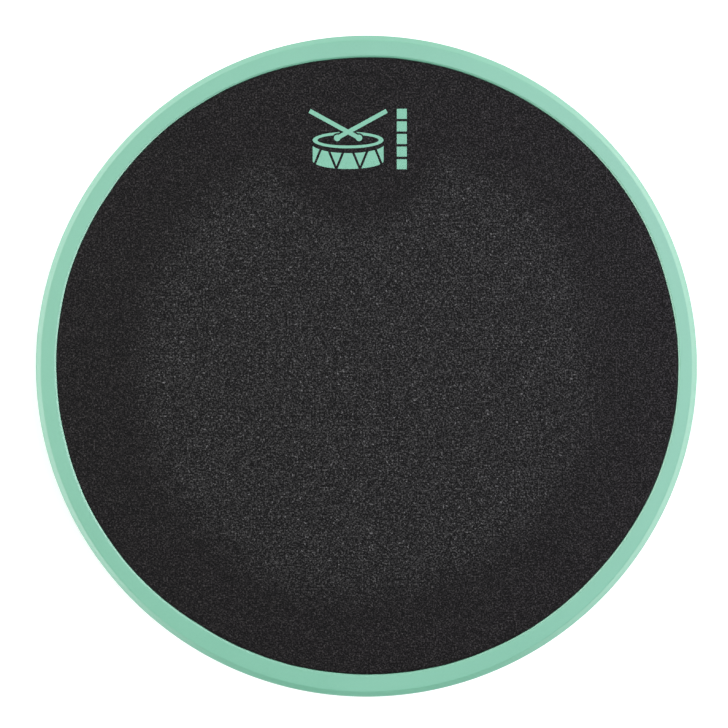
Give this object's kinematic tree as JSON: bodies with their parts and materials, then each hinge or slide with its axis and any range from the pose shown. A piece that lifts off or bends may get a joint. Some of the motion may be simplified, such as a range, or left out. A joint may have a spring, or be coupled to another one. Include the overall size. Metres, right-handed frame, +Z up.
{
  "type": "drum practice pad",
  "caption": "Flat round drum practice pad: rubber playing skin over foam and fibre board, a coloured rubber edge boot, a ribbed grip base and a threaded stand plate.",
  "frame": {"origin": "middle of the resting plane under the grip base's ribs", "axes": "+Z is up, out of the playing skin; +Y points from the middle of the pad to the printed mark; +X is to the right of the mark"},
  "size_m": [0.3048, 0.3048, 0.025],
  "materials": {
    "skin_rubber": "matte",
    "mark_ink": "matte",
    "adhesive": "satin",
    "rebound_foam": "matte",
    "fibre_board": "matte",
    "boot_rubber": "satin",
    "base_rubber": "matte",
    "zinc_steel": "satin",
    "screw_steel": "satin"
  },
  "bodies": {
    "root": {"playing_skin": "skin_rubber", "printed_mark": "mark_ink", "skin_film": "adhesive", "rebound_pad": "rebound_foam", "rebound_film": "adhesive", "core_board": "fibre_board", "edge_boot": "boot_rubber", "base_film": "adhesive", "grip_base": "base_rubber", "thread_plate": "zinc_steel", "plate_screws": "screw_steel"}
  },
  "joints": []
}
